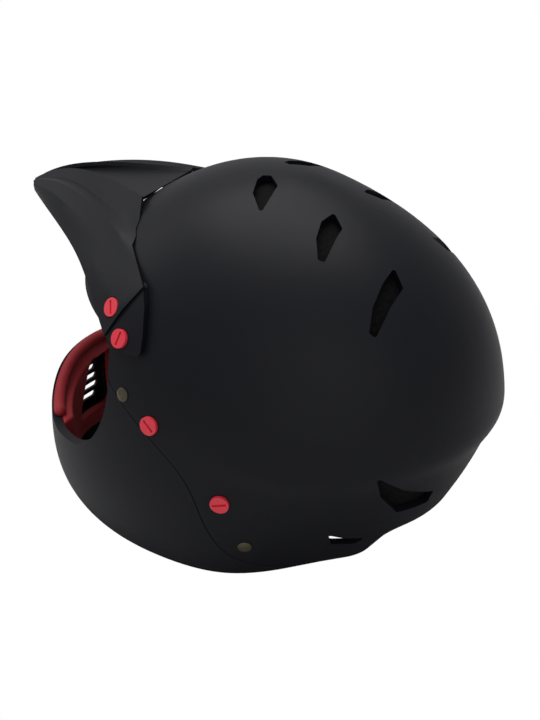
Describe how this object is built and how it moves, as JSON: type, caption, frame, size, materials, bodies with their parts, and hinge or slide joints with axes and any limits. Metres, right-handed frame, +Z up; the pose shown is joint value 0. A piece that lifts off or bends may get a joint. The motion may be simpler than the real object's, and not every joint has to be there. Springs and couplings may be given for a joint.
{
  "type": "water helmet",
  "caption": "Full-face water sports helmet with a screwed-on chin guard and peak, foam liner, red guard lining and a chin strap with a side-release buckle.",
  "frame": {"origin": "middle of the bounding box's underside, on the plane the lower rim rests on", "axes": "+Z up, face looks towards -Y, wearer's left is +X"},
  "size_m": [0.1998, 0.2695, 0.19],
  "materials": {
    "shell_black": "satin moulded black plastic",
    "guard_black": "satin moulded black plastic",
    "peak_black": "satin moulded black plastic",
    "screw_red": "dyed red nylon, semi-gloss",
    "nut_black": "plain black nylon",
    "rivet_bronze": "dark bronze coated metal, semi-gloss",
    "lining_red": "deep red closed-cell foam, matte",
    "liner_foam": "fine-grained black bead foam, matte",
    "pad_fabric": "brushed black knit over foam, matte",
    "webbing_black": "woven black webbing",
    "buckle_black": "moulded black acetal, satin"
  },
  "bodies": {
    "helmet": {"buckle_housing": "buckle_black", "cheek_pad_left": "pad_fabric", "cheek_pad_right": "pad_fabric", "chin_guard": "guard_black", "chin_guard_lining": "lining_red", "chin_strap_left": "webbing_black", "chin_strap_right": "webbing_black", "comfort_pad_crown": "pad_fabric", "comfort_pad_front": "pad_fabric", "comfort_pad_left": "pad_fabric", "comfort_pad_rear": "pad_fabric", "comfort_pad_right": "pad_fabric", "front_strap_left": "webbing_black", "front_strap_right": "webbing_black", "guard_nuts": "nut_black", "liner_crown": "liner_foam", "liner_front": "liner_foam", "liner_left": "liner_foam", "liner_rear": "liner_foam", "liner_right": "liner_foam", "lining_bead": "lining_red", "outer_shell": "shell_black", "peak": "peak_black", "peak_nuts": "nut_black", "rear_strap_left": "webbing_black", "rear_strap_right": "webbing_black", "rivet_washers": "rivet_bronze", "strap_divider_left": "buckle_black", "strap_divider_right": "buckle_black", "strap_rivets": "rivet_bronze"},
    "plug": {"buckle_plug": "buckle_black"},
    "peak_screw_left_upper_body": {"peak_screw_left_upper": "screw_red"},
    "peak_screw_left_lower_body": {"peak_screw_left_lower": "screw_red"},
    "guard_screw_left_front_body": {"guard_screw_left_front": "screw_red"},
    "guard_screw_left_rear_body": {"guard_screw_left_rear": "screw_red"},
    "peak_screw_right_upper_body": {"peak_screw_right_upper": "screw_red"},
    "peak_screw_right_lower_body": {"peak_screw_right_lower": "screw_red"},
    "guard_screw_right_front_body": {"guard_screw_right_front": "screw_red"},
    "guard_screw_right_rear_body": {"guard_screw_right_rear": "screw_red"}
  },
  "joints": [
    {"name": "buckle_release", "type": "slide", "parent": "helmet", "child": "plug", "axis": [1, 0, 0], "range_m": [0, 0.022]},
    {"name": "peak_screw_left_upper_turn", "type": "hinge", "parent": "helmet", "child": "peak_screw_left_upper_body", "pos_m": [0.07677, -0.02877, 0.1373], "axis": [0.8193, -0.2518, 0.5152], "continuous": true},
    {"name": "peak_screw_left_lower_turn", "type": "hinge", "parent": "helmet", "child": "peak_screw_left_lower_body", "pos_m": [0.08517, -0.02047, 0.1257], "axis": [0.8883, -0.1619, 0.4297], "continuous": true},
    {"name": "guard_screw_left_front_turn", "type": "hinge", "parent": "helmet", "child": "guard_screw_left_front_body", "pos_m": [0.09796, -0.00297, 0.0875], "axis": [0.99, -0.0179, 0.1397], "continuous": true},
    {"name": "guard_screw_left_rear_turn", "type": "hinge", "parent": "helmet", "child": "guard_screw_left_rear_body", "pos_m": [0.09453, 0.03053, 0.0487], "axis": [0.9529, 0.2755, -0.1268], "continuous": true},
    {"name": "peak_screw_right_upper_turn", "type": "hinge", "parent": "helmet", "child": "peak_screw_right_upper_body", "pos_m": [-0.07677, -0.02877, 0.1373], "axis": [-0.8193, -0.2518, 0.5152], "continuous": true},
    {"name": "peak_screw_right_lower_turn", "type": "hinge", "parent": "helmet", "child": "peak_screw_right_lower_body", "pos_m": [-0.08517, -0.02047, 0.1257], "axis": [-0.8883, -0.1619, 0.4297], "continuous": true},
    {"name": "guard_screw_right_front_turn", "type": "hinge", "parent": "helmet", "child": "guard_screw_right_front_body", "pos_m": [-0.09796, -0.00297, 0.0875], "axis": [-0.99, -0.0179, 0.1397], "continuous": true},
    {"name": "guard_screw_right_rear_turn", "type": "hinge", "parent": "helmet", "child": "guard_screw_right_rear_body", "pos_m": [-0.09453, 0.03053, 0.0487], "axis": [-0.9529, 0.2755, -0.1268], "continuous": true}
  ]
}
